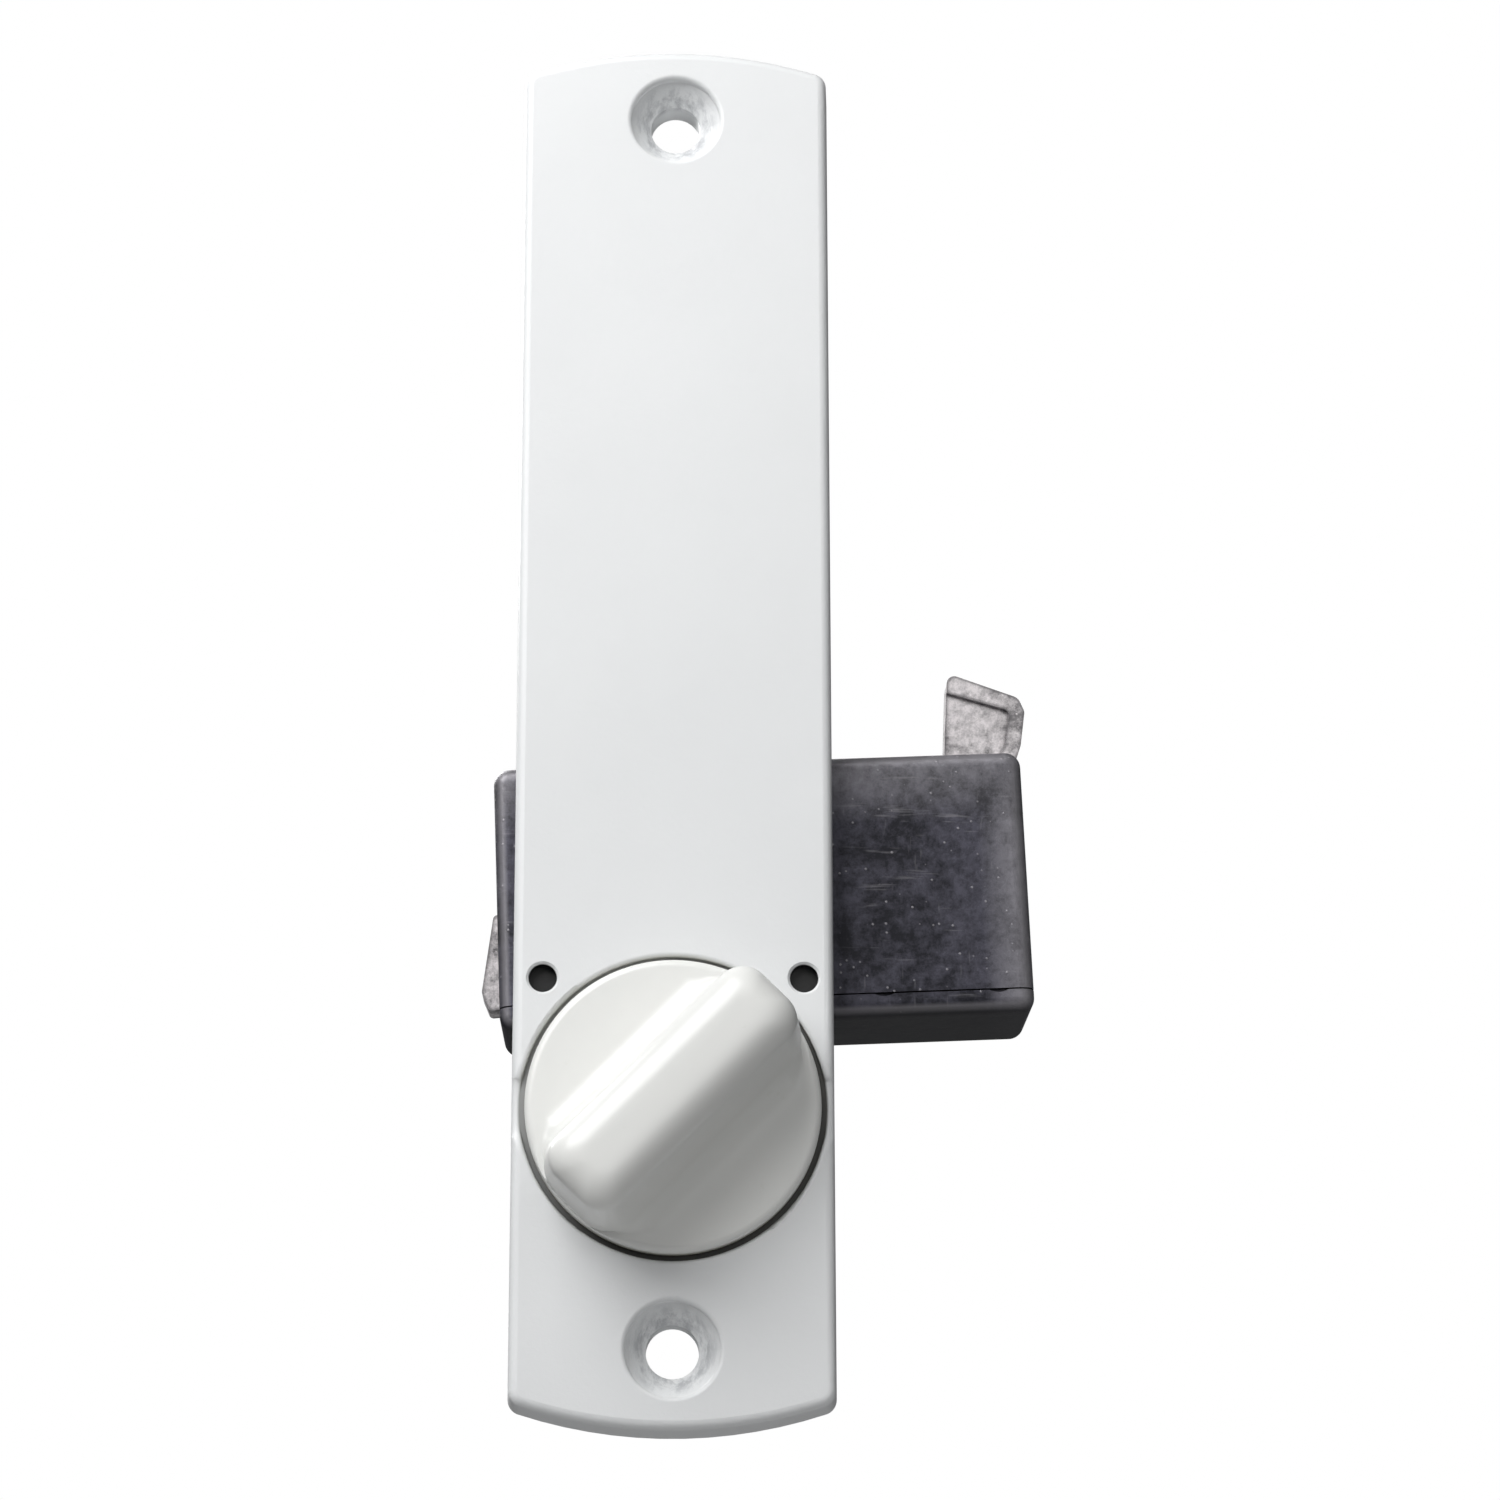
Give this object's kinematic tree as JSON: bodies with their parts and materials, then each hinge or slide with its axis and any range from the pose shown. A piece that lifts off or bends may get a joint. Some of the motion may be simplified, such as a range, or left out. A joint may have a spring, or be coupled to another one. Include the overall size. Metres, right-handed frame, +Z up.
{
  "type": "keyed window lock",
  "caption": "Slim face plate with a quarter-turn thumb knob that draws a hook into the lock case behind it; a key cylinder sits behind the knob.",
  "frame": {"origin": "midway between the two fixing holes, on the plane of the face plate's back", "axes": "+Z up along the plate, +X towards the hook, +Y into the window stile; the painted face looks towards -Y"},
  "size_m": [0.0556, 0.0526, 0.144],
  "materials": {
    "plate_white": "satin white powder coat",
    "knob_white": "glossy warm white moulding",
    "steel": "bright drawn steel",
    "spring_steel": "dark spring steel",
    "zinc_light": "bare die-cast zinc, light grey",
    "zinc_dark": "dark tumbled die-cast zinc with pale worn edges",
    "zinc_plated": "zinc-plated steel screws",
    "cylinder_metal": "satin nickel-plated die casting",
    "brass": "turned brass"
  },
  "bodies": {
    "lock_body": {"plate": "plate_white", "case_cover": "zinc_dark", "case_body": "zinc_dark", "cover_screws": "zinc_plated", "case_screws": "zinc_plated", "pivot_pin": "steel", "detent_ball": "steel", "detent_spring": "spring_steel", "hook_spring": "spring_steel", "spring_washer": "spring_steel", "standoffs": "zinc_plated", "cylinder_screws": "zinc_plated", "cylinder_housing": "cylinder_metal", "chamber_strip": "brass", "driver_pins": "brass", "pin_springs": "spring_steel"},
    "thumb_knob": {"knob": "knob_white", "spindle": "steel", "retaining_ring": "spring_steel", "crank_disc": "zinc_light", "drive_pin": "steel"},
    "hook": {"hook_lever": "zinc_light"},
    "key_barrel": {"key_plug": "brass", "plug_cam": "zinc_plated", "cam_screw": "zinc_plated", "key_pins": "brass"}
  },
  "joints": [
    {"name": "knob_turn", "type": "hinge", "parent": "lock_body", "child": "thumb_knob", "pos_m": [0, 0, -0.0405], "axis": [0, -1, 0], "range_deg": [0, 90]},
    {"name": "hook_rock", "type": "hinge", "parent": "lock_body", "child": "hook", "pos_m": [-0.00303, 0, -0.01243], "axis": [0, -1, 0], "range_deg": [-17.1, 0], "deforming": ["hook_spring"]},
    {"name": "key_turn", "type": "hinge", "parent": "thumb_knob", "child": "key_barrel", "pos_m": [0, 0, -0.0405], "axis": [0, -1, 0], "range_deg": [-90, 0]}
  ],
  "couplings": [
    {"joint": "hook_rock", "follows": "knob_turn", "ratio": -0.18921}
  ]
}
